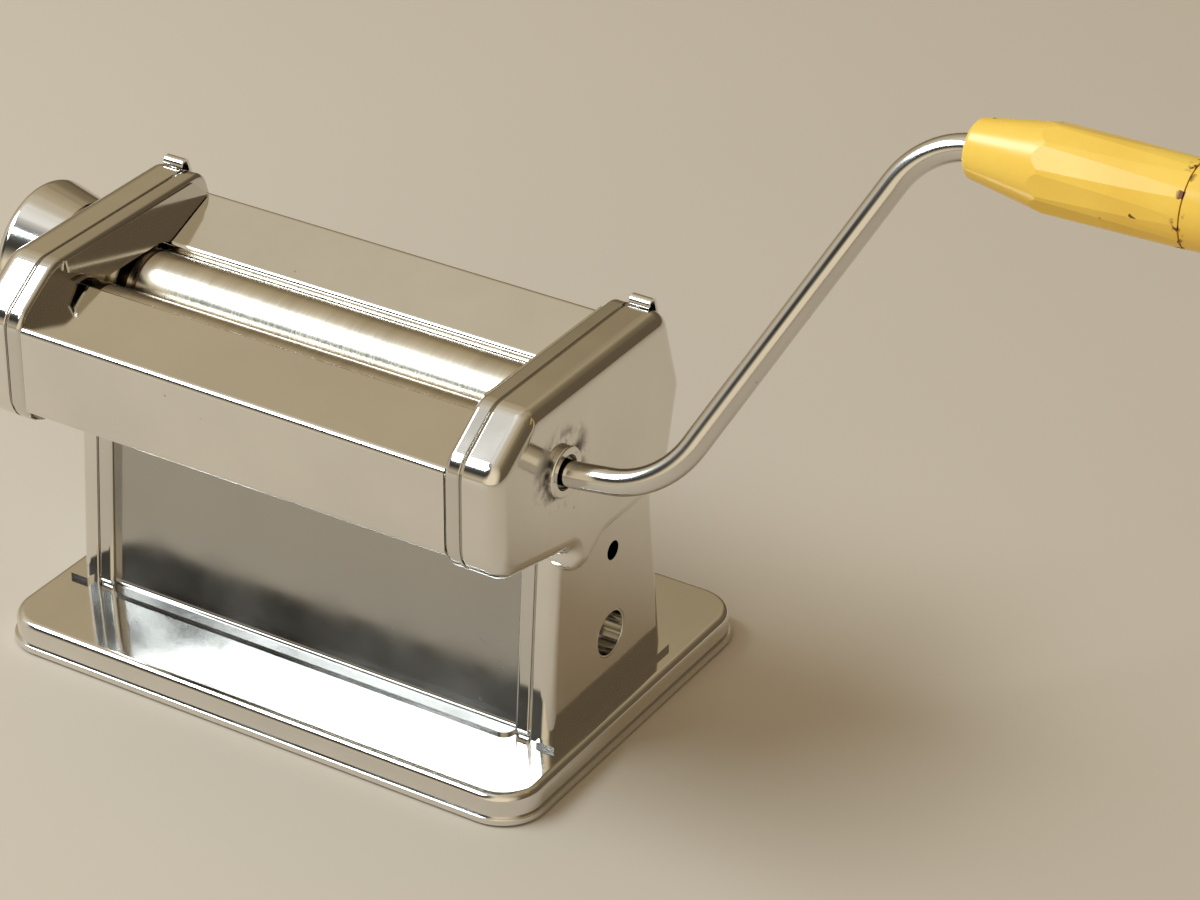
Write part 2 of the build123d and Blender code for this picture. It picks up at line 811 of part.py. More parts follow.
with BuildPart() as slide_bush_right:
    turned(right_sleeve_start, bracket_start - slide_end_gap, sleeve_radius, rear_axis)
    sleeve_head(bracket_start - slide_end_gap, bracket_end - bracket_blind - slot_gap)
    sleeve_bore(right_sleeve_start, bracket_end - bracket_blind - slot_gap)
keep(slide_bush_right, "slide_bush_right")

cam_rest = radians(setting_half_angle)
cam_axis = (shaft_axis[0] + cam_throw * sin(cam_rest), shaft_axis[1] + cam_throw * cos(cam_rest))
with BuildPart() as adjust_shaft:
    turned(-shaft_bush_end, shaft_end, shaft_radius, shaft_axis)
    turned(-left_cam_end, -left_cam_start, cam_radius, cam_axis)
    turned(right_cam_start, right_cam_end, cam_radius, cam_axis)
    with BuildSketch(across(-knob_shaft_end, shaft_axis)):
        Circle(shaft_radius)
        Rectangle(2 * shaft_radius, shaft_flats, mode=Mode.INTERSECT)
    extrude(amount=knob_shaft_end - shaft_bush_end)
keep(adjust_shaft, "adjust_shaft")

with BuildPart() as axle_bracket:
    half_height = (bracket_high - bracket_low) / 2
    bracket_middle = (slot_middle[0], (bracket_high + bracket_low) / 2)
    with BuildSketch(across(bracket_start, bracket_middle)):
        Rectangle(2 * bracket_half_width, 2 * half_height)
    extrude(amount=bracket_end - bracket_start)
    web_outside = plate_face + plate_sheet
    for z, sign in ((bracket_low, 1), (bracket_high, -1)):
        with BuildSketch(across(web_outside, (slot_middle[0], z + sign * bracket_sheet / 2))):
            Rectangle(2 * bracket_half_width, bracket_sheet)
        extrude(amount=bracket_end - web_outside)
        with BuildSketch(across(web_outside, (slot_middle[0], z - sign * (bracket_foot / 2 - bracket_sheet)))):
            Rectangle(2 * bracket_half_width, bracket_foot)
        extrude(amount=bracket_sheet)
    with BuildSketch(across(bracket_start, slot_middle)):
        SlotCenterToCenter(gap_travel, 2 * sleeve_slot)
        Rectangle(gap_travel + 2 * sleeve_slot, sleeve_block + 2 * slot_gap, mode=Mode.INTERSECT)
    extrude(amount=bracket_end - bracket_blind - bracket_start, mode=Mode.SUBTRACT)
    turned(bracket_start, bracket_end, shaft_radius + running_fit, shaft_axis, Mode.SUBTRACT)
keep(axle_bracket, "axle_bracket")


# ================================================================ gears
def toothed(start_angle, centre):
    """Narrow toothed wheel that stays in mesh over the whole roller gap travel."""
    with BuildSketch(across(gear_start, centre)) as teeth:
        Circle(gear_root)
        with PolarLocations(0, gear_teeth, start_angle=start_angle):
            Polygon(
                (gear_root - tooth_tip_width, -tooth_root_width / 2),
                (gear_tip, -tooth_tip_width / 2),
                (gear_tip, tooth_tip_width / 2),
                (gear_root - tooth_tip_width, tooth_root_width / 2),
                align=None,
            )
    extrude(to_extrude=teeth.sketch, amount=gear_end - gear_start)


with BuildPart() as drive_gear:
    toothed(0, front_axis)
    turned(gear_end, hub_end, hub_radius, front_axis)
    turned(gear_start, journal_end, journal_radius + press_clearance, front_axis, Mode.SUBTRACT)
    with BuildSketch(across(journal_end, front_axis)):
        RegularPolygon(crank_hex_size / 2 + press_clearance, 6, major_radius=False)
    extrude(amount=hub_end - journal_end, mode=Mode.SUBTRACT)
keep(drive_gear, "drive_gear")

with BuildPart() as driven_gear:
    toothed(180 / gear_teeth, rear_axis)
    turned(gear_start, gear_end, tube_radius + press_clearance, rear_axis, Mode.SUBTRACT)
keep(driven_gear, "driven_gear")

with BuildPart() as crank_bushing:
    turned(head_face, head_face + ring_proud, ring_radius, front_axis)
    fillet(crank_bushing.edges().group_by(Axis.X)[-1], ring_round)
    turned(head_face - bushing_spigot, head_face, crank_hole_radius, front_axis)
    turned(head_face - bushing_spigot, head_face + ring_proud, ring_bore, front_axis, Mode.SUBTRACT)
keep(crank_bushing, "crank_bushing")


# ================================================================ adjuster knob
with BuildPart() as shaft_bush:
    turned(-shaft_bush_end, shaft_bush_flange_sheet - head_face + cover_sheet, shaft_bush_radius, shaft_axis)
    turned(cover_sheet - head_face, shaft_bush_flange_sheet - head_face + cover_sheet, shaft_bush_flange,
           shaft_axis)
    turned(-shaft_bush_end, shaft_bush_flange_sheet - head_face + cover_sheet, shaft_radius + running_fit,
           shaft_axis, Mode.SUBTRACT)
keep(shaft_bush, "shaft_bush")

slot_path = CenterArc((0, 0), index_ring, 90, 2 * setting_half_angle)
with BuildPart() as setting_plate:
    with BuildSketch(across(-head_face - index_plate_sheet, shaft_axis)):
        Circle(index_plate_radius)
        Circle(shaft_bush_radius + press_clearance, mode=Mode.SUBTRACT)
        SlotArc(slot_path, 2 * (pin_radius + slide_end_gap), mode=Mode.SUBTRACT)
        with PolarLocations(index_ring, settings, start_angle=90, angular_range=2 * setting_half_angle,
                            endpoint=True, rotate=False):
            Circle(index_hole_radius, mode=Mode.SUBTRACT)
    extrude(amount=index_plate_sheet)
keep(setting_plate, "setting_plate")

knob_plane = Plane(origin=(0, shaft_axis[0], shaft_axis[1]), x_dir=(1, 0, 0), z_dir=(0, -1, 0))
knob_axis = Axis((0, shaft_axis[0], shaft_axis[1]), (1, 0, 0))
flare = (knob_front_radius - knob_back_radius) / (knob_end - knob_start)


def knob_wall(x):
    """Inner radius of the knob shell at a distance from the middle of the machine."""
    return knob_back_radius - knob_sheet + flare * (x - knob_start)


with BuildPart() as knob_shell:
    with BuildSketch(knob_plane):
        Polygon(
            (-knob_start, 0),
            (-knob_start, knob_back_radius),
            (-knob_end, knob_front_radius),
            (-knob_end, 0),
            align=None,
        )
    revolve(axis=knob_axis)
    fillet(knob_shell.edges().filter_by(GeomType.CIRCLE).group_by(Axis.X)[0], knob_front_round)
    with BuildSketch(knob_plane):
        Polygon(
            (-knob_start, 0),
            (-knob_start, knob_wall(knob_start)),
            (knob_sheet + knob_front_round - knob_end, knob_wall(knob_end - knob_front_round)),
            (knob_sheet - knob_end, knob_wall(knob_end) - knob_front_round),
            (knob_sheet - knob_end, 0),
            align=None,
        )
    revolve(axis=knob_axis, mode=Mode.SUBTRACT)
keep(knob_shell, "knob_shell")

hub_plate_end = hub_plate_start + hub_plate_sheet
with BuildPart() as knob_hub:
    with BuildSketch(knob_plane):
        Polygon(
            (-hub_plate_start, 0),
            (-hub_plate_start, knob_wall(hub_plate_start)),
            (-hub_plate_end, knob_wall(hub_plate_end)),
            (-hub_plate_end, 0),
            align=None,
        )
    revolve(axis=knob_axis)
    with BuildSketch(across(-hub_plate_end, shaft_axis)):
        Circle(shaft_radius + running_fit)
        Rectangle(2 * (shaft_radius + running_fit), shaft_flats + 2 * running_fit, mode=Mode.INTERSECT)
    extrude(amount=hub_plate_sheet, mode=Mode.SUBTRACT)
    with BuildSketch(across(-hub_plate_end, shaft_axis)):
        with Locations((0, index_ring)):
            Circle(pin_radius)
    extrude(amount=hub_plate_sheet, mode=Mode.SUBTRACT)
keep(knob_hub, "knob_hub")

with BuildPart() as knob_pin:
    with BuildSketch(across(-hub_plate_end, shaft_axis)):
        with Locations((0, index_ring)):
            Circle(pin_radius)
    extrude(amount=hub_plate_end - head_face - pin_tip_gap)
    chamfer(knob_pin.edges().group_by(Axis.X)[-1], pin_chamfer)
keep(knob_pin, "knob_pin")

with BuildPart() as spring_retainer:
    with BuildSketch(across(-retainer_start - retainer_sheet, shaft_axis)):
        Circle(retainer_radius)
        Circle(shaft_radius + press_clearance, mode=Mode.SUBTRACT)
    extrude(amount=retainer_sheet)
keep(spring_retainer, "spring_retainer")

with BuildPart() as knob_spring:
    with BuildSketch(across(-retainer_start, shaft_axis)):
        Circle(spring_outer)
        Circle(spring_inner, mode=Mode.SUBTRACT)
    extrude(amount=retainer_start - hub_plate_end)
keep(knob_spring, "knob_spring")


# ================================================================ crank
lean = radians(crank_tilt)
crank_plane = Plane(
    origin=(0, front_axis[0], front_axis[1]),
    x_dir=(1, 0, 0),
    z_dir=(0, -sin(lean), cos(lean)),
)
grip_lean = atan2(crank_points[-1][1] - crank_points[-2][1], crank_points[-1][0] - crank_points[-2][0])
grip_line = (cos(grip_lean), sin(grip_lean))


def past_bend(distance):
    """Point on the handle's axis at a distance past the rod's last corner."""
    corner = crank_points[-2]
    return (corner[0] + distance * grip_line[0], corner[1] + distance * grip_line[1])


def in_space(point):
    """Point of the crank's plane in the frame of the object."""
    return crank_plane.from_local_coords(Vector(point[0], point[1], 0))


grip_axis = Axis(in_space(past_bend(0)), in_space(past_bend(1)) - in_space(past_bend(0)))


def grip_section(distance):
    """Plane square to the handle at a distance past the rod's last corner."""
    return Plane(origin=in_space(past_bend(distance)), z_dir=grip_axis.direction)


grip_seam = grip_start + grip_length
washer_start = grip_seam + washer_gap
rod_tip = washer_start + washer_sheet + rod_past_washer
grip_frame = Plane(
    origin=in_space(past_bend(0)),
    x_dir=grip_axis.direction,
    z_dir=crank_plane.z_dir,
)

with BuildPart() as crank_rod:
    with BuildLine(crank_plane) as rod_path:
        FilletPolyline((crank_hex_end, 0), *crank_points[:-1], past_bend(rod_tip), radius=crank_rounds)
    with BuildSketch(across(crank_hex_end, front_axis)):
        Circle(crank_rod_radius)
    sweep(path=rod_path.wire())
    with BuildSketch(across(crank_start, front_axis)):
        RegularPolygon(crank_hex_size / 2, 6, major_radius=False)
    extrude(amount=crank_hex_end - crank_start)
keep(crank_rod, "crank_rod")

with BuildPart() as handle_grip:
    with BuildSketch(grip_frame):
        with BuildLine():
            Polyline(
                (grip_start, 0),
                (grip_start, grip_nose_radius - grip_edge_round),
                (grip_start + grip_edge_round, grip_nose_radius),
                (grip_start + grip_cone, grip_radius),
                (grip_seam, grip_seam_radius),
                (grip_seam, 0),
                close=True,
            )
        make_face()
    revolve(axis=grip_axis)
    with BuildSketch(grip_section(grip_start)):
        RegularPolygon(grip_flat_size, grip_side_count, major_radius=False)
    extrude(amount=grip_length, mode=Mode.INTERSECT)
    with BuildSketch(grip_section(grip_start)):
        Circle(crank_rod_radius + running_fit)
    extrude(amount=grip_length, mode=Mode.SUBTRACT)
    with BuildSketch(grip_section(grip_start)):
        Circle(crank_rod_radius + nose_relief)
    extrude(amount=nose_relief_depth, mode=Mode.SUBTRACT)
keep(handle_grip, "handle_grip")

cap_start = grip_seam + cap_joint
cap_end = grip_seam + cap_length
with BuildPart() as handle_cap:
    with BuildSketch(grip_frame):
        with BuildLine():
            Polyline(
                (cap_start, 0),
                (cap_start, cap_radius - cap_joint),
                (cap_start + cap_joint, cap_radius),
                (cap_end - cap_dome, cap_tail_radius),
                (cap_end, cap_tail_radius - cap_dome),
                (cap_end, 0),
                close=True,
            )
        make_face()
    revolve(axis=grip_axis)
    with BuildSketch(grip_section(cap_start)):
        Circle(cap_radius - cap_wall)
    extrude(amount=cap_cavity, mode=Mode.SUBTRACT)
    with BuildSketch(grip_section(grip_seam)):
        Circle(cap_radius - cap_wall)
        Circle(cap_radius - cap_wall - cap_spigot, mode=Mode.SUBTRACT)
    extrude(amount=cap_cavity + cap_joint)
keep(handle_cap, "handle_cap")

with BuildPart() as grip_washer:
    with BuildSketch(grip_section(washer_start)):
        Circle(washer_radius)
        Circle(crank_rod_radius + press_clearance, mode=Mode.SUBTRACT)
    extrude(amount=washer_sheet)
keep(grip_washer, "grip_washer")
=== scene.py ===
"""Looks of the hand cranked dough roller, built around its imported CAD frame."""
import json

import bmesh
import bpy
from bpy.props import FloatProperty, FloatVectorProperty, PointerProperty
from bpy.types import Operator, Panel, PropertyGroup
from mathutils import Matrix, Vector


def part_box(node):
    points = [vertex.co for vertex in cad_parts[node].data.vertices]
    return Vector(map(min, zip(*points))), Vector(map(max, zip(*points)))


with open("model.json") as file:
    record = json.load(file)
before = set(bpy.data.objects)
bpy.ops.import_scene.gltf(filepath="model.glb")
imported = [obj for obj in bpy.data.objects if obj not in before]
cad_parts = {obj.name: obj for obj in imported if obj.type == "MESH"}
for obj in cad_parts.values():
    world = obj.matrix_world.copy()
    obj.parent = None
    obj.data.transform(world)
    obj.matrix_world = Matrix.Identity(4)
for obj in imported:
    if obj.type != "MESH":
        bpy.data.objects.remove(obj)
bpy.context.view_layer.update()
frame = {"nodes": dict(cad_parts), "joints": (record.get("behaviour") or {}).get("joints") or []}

bl_info = {
    "name": "Dough roller looks",
    "version": (1, 0, 0),
    "blender": (4, 5, 0),
    "location": "View3D > Sidebar > Dough roller",
    "description": "Finishes and stage for a hand cranked dough roller",
    "category": "Object",
}

NODES = frame["nodes"]

# Camera solved from the photograph's edges
CAMERA_PLACE = (0.614641, -0.861141, 0.693097)
CAMERA_RIGHT = (0.849792, 0.527075, 0.006698)
CAMERA_FORWARD = (-0.450945, 0.733512, -0.508536)
CAMERA_LENS = 117.0
CAMERA_SENSOR = 36.0
CAMERA_FAR = 20.0


def joint(name):
    """Joint of the frame by name."""
    return next(j for j in frame["joints"] if j["name"] == name)


HANDLE_JOINT = joint("handle_spin")
HANDLE_POINT = Vector(HANDLE_JOINT["pos_m"])
HANDLE_AXIS = Vector(HANDLE_JOINT["axis"]).normalized()
CRANK_POINT = Vector(joint("crank_turn")["pos_m"])


# ---------------------------------------------------------------- settings
class DoughRollerFinish(PropertyGroup):
    """Colours and surface values of the finishes."""

    chrome_colour: FloatVectorProperty(
        name="Chrome colour",
        description="Reflection colour of the plated sheet metal",
        subtype="COLOR",
        size=3,
        min=0.0,
        max=1.0,
        default=(0.82, 0.80, 0.765),
    )
    chrome_roughness: FloatProperty(
        name="Chrome roughness",
        description="Roughness of clean chrome",
        subtype="FACTOR",
        min=0.0,
        max=1.0,
        default=0.075,
    )
    rust_amount: FloatProperty(
        name="Rust",
        description="Share of the chrome that shows brown specks",
        subtype="FACTOR",
        min=0.0,
        max=1.0,
        default=0.35,
    )
    steel_colour: FloatVectorProperty(
        name="Steel colour",
        description="Colour of the ground steel of the rollers",
        subtype="COLOR",
        size=3,
        min=0.0,
        max=1.0,
        default=(0.76, 0.71, 0.61),
    )
    handle_colour: FloatVectorProperty(
        name="Handle colour",
        description="Colour of the moulded handle",
        subtype="COLOR",
        size=3,
        min=0.0,
        max=1.0,
        default=(0.95, 0.64, 0.105),
    )
    handle_roughness: FloatProperty(
        name="Handle roughness",
        description="Roughness of the moulded handle",
        subtype="FACTOR",
        min=0.0,
        max=1.0,
        default=0.28,
    )


class DoughRollerStage(PropertyGroup):
    """Floor, lamps and surroundings."""

    floor_colour: FloatVectorProperty(
        name="Floor colour",
        description="Colour of the seamless floor",
        subtype="COLOR",
        size=3,
        min=0.0,
        max=1.0,
        default=(0.60, 0.53, 0.445),
    )
    floor_size: FloatProperty(
        name="Floor size",
        description="Width of the floor",
        subtype="DISTANCE",
        unit="LENGTH",
        default=8.0,
    )
    window_direction: FloatVectorProperty(
        name="Window direction",
        description="Direction from the machine to the window",
        subtype="DIRECTION",
        size=3,
        default=(-0.50, -0.40, 0.77),
    )
    window_distance: FloatProperty(
        name="Window distance",
        description="Distance of the window from the machine",
        subtype="DISTANCE",
        unit="LENGTH",
        default=2.3,
    )
    window_power: FloatProperty(
        name="Window power",
        description="Power of the daylight from the window",
        unit="POWER",
        default=42.0,
    )
    room_strength: FloatProperty(
        name="Room strength",
        description="Brightness of the surroundings that light and mirror in the metal",
        min=0.0,
        default=1.0,
    )


# ---------------------------------------------------------------- node helpers
def new_material(name):
    """Empty node material with its shader and output."""
    material = bpy.data.materials.new(name)
    material.use_nodes = True
    tree = material.node_tree
    tree.nodes.clear()
    output = tree.nodes.new("ShaderNodeOutputMaterial")
    shader = tree.nodes.new("ShaderNodeBsdfPrincipled")
    tree.links.new(shader.outputs["BSDF"], output.inputs["Surface"])
    return material, tree, shader


def object_coordinates(tree, scale=(1.0, 1.0, 1.0), offset=(0.0, 0.0, 0.0)):
    """Object coordinates through a mapping."""
    source = tree.nodes.new("ShaderNodeTexCoord")
    mapping = tree.nodes.new("ShaderNodeMapping")
    mapping.inputs["Scale"].default_value = scale
    mapping.inputs["Location"].default_value = offset
    tree.links.new(source.outputs["Object"], mapping.inputs["Vector"])
    return mapping.outputs["Vector"]


def noise(tree, vector, scale, detail=3.0, rough=0.55, distortion=0.0):
    """Noise value at a scale in cycles per metre."""
    node = tree.nodes.new("ShaderNodeTexNoise")
    node.inputs["Scale"].default_value = scale
    node.inputs["Detail"].default_value = detail
    node.inputs["Roughness"].default_value = rough
    node.inputs["Distortion"].default_value = distortion
    tree.links.new(vector, node.inputs["Vector"])
    return node.outputs["Fac"]


def remap(tree, value, low, high, new_low=0.0, new_high=1.0):
    """Clamped linear remap of a value."""
    node = tree.nodes.new("ShaderNodeMapRange")
    node.inputs["From Min"].default_value = low
    node.inputs["From Max"].default_value = high
    node.inputs["To Min"].default_value = new_low
    node.inputs["To Max"].default_value = new_high
    tree.links.new(value, node.inputs["Value"])
    return node.outputs["Result"]


def combine(tree, operation, first, second):
    """Math node on two values or numbers."""
    node = tree.nodes.new("ShaderNodeMath")
    node.operation = operation
    for socket, value in zip(node.inputs, (first, second)):
        if isinstance(value, (int, float)):
            socket.default_value = value
        else:
            tree.links.new(value, socket)
    return node.outputs["Value"]


def blend_colours(tree, factor, first, second):
    """Mix of two colours or colour outputs by a factor output."""
    node = tree.nodes.new("ShaderNodeMix")
    node.data_type = "RGBA"
    tree.links.new(factor, node.inputs["Factor"])
    for name, value in (("A", first), ("B", second)):
        socket = next(s for s in node.inputs if s.name == name and s.type == "RGBA")
        if isinstance(value, tuple):
            socket.default_value = (*value, 1.0)
        else:
            tree.links.new(value, socket)
    return next(s for s in node.outputs if s.type == "RGBA")


def bump(tree, shader, height, strength, distance):
    """Bump on the shader's normal."""
    node = tree.nodes.new("ShaderNodeBump")
    node.inputs["Strength"].default_value = strength
    node.inputs["Distance"].default_value = distance
    tree.links.new(height, node.inputs["Height"])
    tree.links.new(node.outputs["Normal"], shader.inputs["Normal"])


def distance_along(tree, origin, axis):
    """Distance along an axis from a point, in metres."""
    source = tree.nodes.new("ShaderNodeTexCoord")
    shift = tree.nodes.new("ShaderNodeVectorMath")
    shift.operation = "SUBTRACT"
    shift.inputs[1].default_value = origin
    dot = tree.nodes.new("ShaderNodeVectorMath")
    dot.operation = "DOT_PRODUCT"
    dot.inputs[1].default_value = axis
    tree.links.new(source.outputs["Object"], shift.inputs[0])
    tree.links.new(shift.outputs["Vector"], dot.inputs[0])
    return dot.outputs["Value"]


def aligned(tree, vector, direction):
    """Cosine of the angle between a unit vector and a direction."""
    dot = tree.nodes.new("ShaderNodeVectorMath")
    dot.operation = "DOT_PRODUCT"
    dot.inputs[1].default_value = Vector(direction).normalized()
    tree.links.new(vector, dot.inputs[0])
    return dot.outputs["Value"]


def distance_around(tree, origin, plane_scale):
    """Distance from a line through a point; plane_scale drops the line's own direction."""
    source = tree.nodes.new("ShaderNodeTexCoord")
    shift = tree.nodes.new("ShaderNodeVectorMath")
    shift.operation = "SUBTRACT"
    shift.inputs[1].default_value = origin
    flatten = tree.nodes.new("ShaderNodeVectorMath")
    flatten.operation = "MULTIPLY"
    flatten.inputs[1].default_value = plane_scale
    length = tree.nodes.new("ShaderNodeVectorMath")
    length.operation = "LENGTH"
    tree.links.new(source.outputs["Object"], shift.inputs[0])
    tree.links.new(shift.outputs["Vector"], flatten.inputs[0])
    tree.links.new(flatten.outputs["Vector"], length.inputs[0])
    return length.outputs["Value"]


# ---------------------------------------------------------------- finishes
RUST_BROWN = (0.16, 0.075, 0.03)
# colour of the dark ring around the crank hole: painted shade of the hole mixed with grime
SHADE_AND_GRIME = (0.07, 0.055, 0.04)
RUST_LINE = 0.072
CHIP_BROWN = (0.17, 0.06, 0.015)
SCRATCH_HEIGHT = 0.004
# inner and outer radius of that dark ring of painted shade and grime around the crank axis
SHADE_RING_INNER = 0.0085
SHADE_RING_OUTER = 0.0165


def chrome_finish(name, roughness_gain=1.0, waviness=0.35, shade_and_grime_at=None, shade_dimming=1.0):
    """Polished chrome with handling haze, fine scratches, soft waves and brown specks; its colour is
    scaled down by a factor as painted shade, and an optional dark blotched ring around a hole is painted
    shade mixed with grime.
    """
    finish = bpy.context.scene.dough_roller_finish
    material, tree, shader = new_material(name)
    plain = object_coordinates(tree)
    streaky = object_coordinates(tree, scale=(1.0, 0.12, 1.0))
    haze = noise(tree, plain, 26.0, detail=5.0)
    scratches = noise(tree, streaky, 900.0, detail=2.0)
    specks = noise(tree, plain, 210.0, detail=3.0, rough=0.6)
    patches = noise(tree, plain, 17.0, detail=2.0)
    speck_mask = remap(tree, specks, 0.735 - 0.05 * finish.rust_amount, 0.775)
    patch_mask = remap(tree, patches, 0.50, 0.62)
    rust = combine(tree, "MULTIPLY", speck_mask, patch_mask)
    clean = finish.chrome_roughness * roughness_gain
    rough = remap(tree, haze, 0.35, 0.75, clean * 0.7, clean * 1.9)
    # the chrome colour is multiplied by the darkening factor: painted shade, strongest on the chute
    tint = blend_colours(
        tree,
        remap(tree, haze, 0.3, 0.8),
        tuple(c * shade_dimming for c in finish.chrome_colour),
        tuple(c * shade_dimming * 0.9 for c in finish.chrome_colour),
    )
    colour = blend_colours(tree, rust, tint, RUST_BROWN)
    if shade_and_grime_at is not None:
        origin, plane_scale, inner, outer = shade_and_grime_at
        # dark blotched ring around the hole: painted shade of the hole mixed with grime, also rougher and
        # less metallic
        ring = remap(tree, distance_around(tree, origin, plane_scale), inner, outer, 1.0, 0.0)
        blotch = remap(tree, noise(tree, plain, 120.0, detail=4.0), 0.42, 0.62)
        shade_and_grime = combine(tree, "MULTIPLY", ring, blotch)
        colour = blend_colours(tree, shade_and_grime, colour, SHADE_AND_GRIME)
        rough = combine(tree, "ADD", rough, combine(tree, "MULTIPLY", shade_and_grime, 0.45))
        rust = combine(tree, "MAXIMUM", rust, shade_and_grime)
    rough = combine(tree, "ADD", rough, combine(tree, "MULTIPLY", rust, 0.4))
    metal = combine(tree, "SUBTRACT", 1.0, combine(tree, "MULTIPLY", rust, 0.7))
    tree.links.new(colour, shader.inputs["Base Color"])
    tree.links.new(rough, shader.inputs["Roughness"])
    tree.links.new(metal, shader.inputs["Metallic"])
    waves = noise(tree, plain, 30.0, detail=1.0)
    waved = combine(tree, "MULTIPLY", waves, waviness)
    scratched = combine(tree, "MULTIPLY", scratches, SCRATCH_HEIGHT)
    height = combine(tree, "ADD", waved, scratched)
    bump(tree, shader, height, 0.35, 0.0012)
    return material


def ground_steel_finish(name):
    """Ground steel whose marks run round the roller."""
    finish = bpy.context.scene.dough_roller_finish
    material, tree, shader = new_material(name)
    rings = object_coordinates(tree, scale=(1.0, 0.02, 0.02))
    plain = object_coordinates(tree)
    lines = noise(tree, rings, 1500.0, detail=3.0)
    bands = noise(tree, rings, 160.0, detail=2.0)
    stains = noise(tree, plain, 90.0, detail=4.0)
    base = tuple(finish.steel_colour)
    dark = tuple(c * 0.84 for c in base)
    colour = blend_colours(tree, remap(tree, bands, 0.35, 0.7), base, dark)
    colour = blend_colours(tree, remap(tree, stains, 0.68, 0.78, 0.0, 0.4), colour, RUST_BROWN)
    across = combine(tree, "ABSOLUTE", distance_along(tree, (0.0, 0.0, 0.0), (1.0, 0.0, 0.0)), 0.0)
    off_line = combine(tree, "ABSOLUTE", combine(tree, "SUBTRACT", across, RUST_LINE), 0.0)
    line = remap(tree, off_line, 0.0004, 0.0012, 0.8, 0.0)
    colour = blend_colours(tree, line, colour, RUST_BROWN)
    tree.links.new(colour, shader.inputs["Base Color"])
    tree.links.new(remap(tree, lines, 0.3, 0.75, 0.22, 0.30), shader.inputs["Roughness"])
    shader.inputs["Metallic"].default_value = 1.0
    bump(tree, shader, lines, 0.08, 0.0001)
    return material


def plain_steel_finish(name, colour, roughness=0.34):
    """Turned or sawn steel of the inner pieces and fasteners."""
    material, tree, shader = new_material(name)
    plain = object_coordinates(tree)
    cloud = noise(tree, plain, 150.0, detail=4.0)
    tint = blend_colours(tree, remap(tree, cloud, 0.35, 0.7), colour, tuple(c * 0.6 for c in colour))
    tree.links.new(tint, shader.inputs["Base Color"])
    rough = remap(tree, cloud, 0.3, 0.7, roughness * 0.8, roughness * 1.3)
    tree.links.new(rough, shader.inputs["Roughness"])
    shader.inputs["Metallic"].default_value = 1.0
    bump(tree, shader, noise(tree, plain, 1200.0, detail=2.0), 0.2, 0.0001)
    return material


def rubber_finish(name):
    """Dull black rubber."""
    material, tree, shader = new_material(name)
    plain = object_coordinates(tree)
    dust = noise(tree, plain, 240.0, detail=4.0)
    colour = blend_colours(tree, remap(tree, dust, 0.45, 0.8), (0.018, 0.018, 0.018), (0.07, 0.065, 0.06))
    tree.links.new(colour, shader.inputs["Base Color"])
    tree.links.new(remap(tree, dust, 0.3, 0.8, 0.6, 0.85), shader.inputs["Roughness"])
    bump(tree, shader, dust, 0.3, 0.0002)
    return material


def handle_finish(name, seam):
    """Glossy moulded plastic with chips along its seam and faint handling marks."""
    finish = bpy.context.scene.dough_roller_finish
    material, tree, shader = new_material(name)
    plain = object_coordinates(tree)
    along = distance_along(tree, HANDLE_POINT, HANDLE_AXIS)
    cloud = noise(tree, plain, 40.0, detail=4.0)
    base = tuple(finish.handle_colour)
    warm = (base[0] * 0.95, base[1] * 0.88, base[2] * 0.8)
    colour = blend_colours(tree, remap(tree, cloud, 0.35, 0.75), base, warm)
    off_seam = combine(tree, "ABSOLUTE", combine(tree, "SUBTRACT", along, seam), 0.0)
    near_seam = remap(tree, off_seam, 0.0006, 0.0022, 1.0, 0.0)
    chips = remap(tree, noise(tree, plain, 330.0, detail=2.0), 0.56, 0.6)
    stray = remap(tree, noise(tree, plain, 270.0, detail=1.0), 0.755, 0.77)
    marks = combine(tree, "MAXIMUM", combine(tree, "MULTIPLY", near_seam, chips), stray)
    colour = blend_colours(tree, marks, colour, CHIP_BROWN)
    tree.links.new(colour, shader.inputs["Base Color"])
    rough = remap(tree, cloud, 0.3, 0.8, finish.handle_roughness * 0.85, finish.handle_roughness * 1.25)
    rough = combine(tree, "ADD", rough, combine(tree, "MULTIPLY", marks, 0.3))
    tree.links.new(rough, shader.inputs["Roughness"])
    fine = noise(tree, plain, 500.0, detail=2.0)
    grain = combine(tree, "MULTIPLY", fine, 0.12)
    dents = combine(tree, "MULTIPLY", marks, 0.6)
    height = combine(tree, "SUBTRACT", grain, dents)
    bump(tree, shader, height, 0.25, 0.0003)
    return material


def dress(material, *names):
    """Give CAD nodes a finish."""
    for name in names:
        obj = NODES[name]
        obj.data.materials.clear()
        obj.data.materials.append(material)


# ---------------------------------------------------------------- operators
class DOUGHROLLER_OT_base(Operator):
    """Finish the base tray, its feet and its screws"""

    bl_idname = "dough_roller.base"
    bl_label = "Base tray"

    def execute(self, context):
        dress(chrome_finish("tray_chrome", 1.2, 0.5), "base_tray")
        dress(rubber_finish("foot_rubber"), "rubber_feet")
        dress(plain_steel_finish("screw_steel", (0.56, 0.55, 0.53)), "base_screws", "base_nuts")
        return {"FINISHED"}


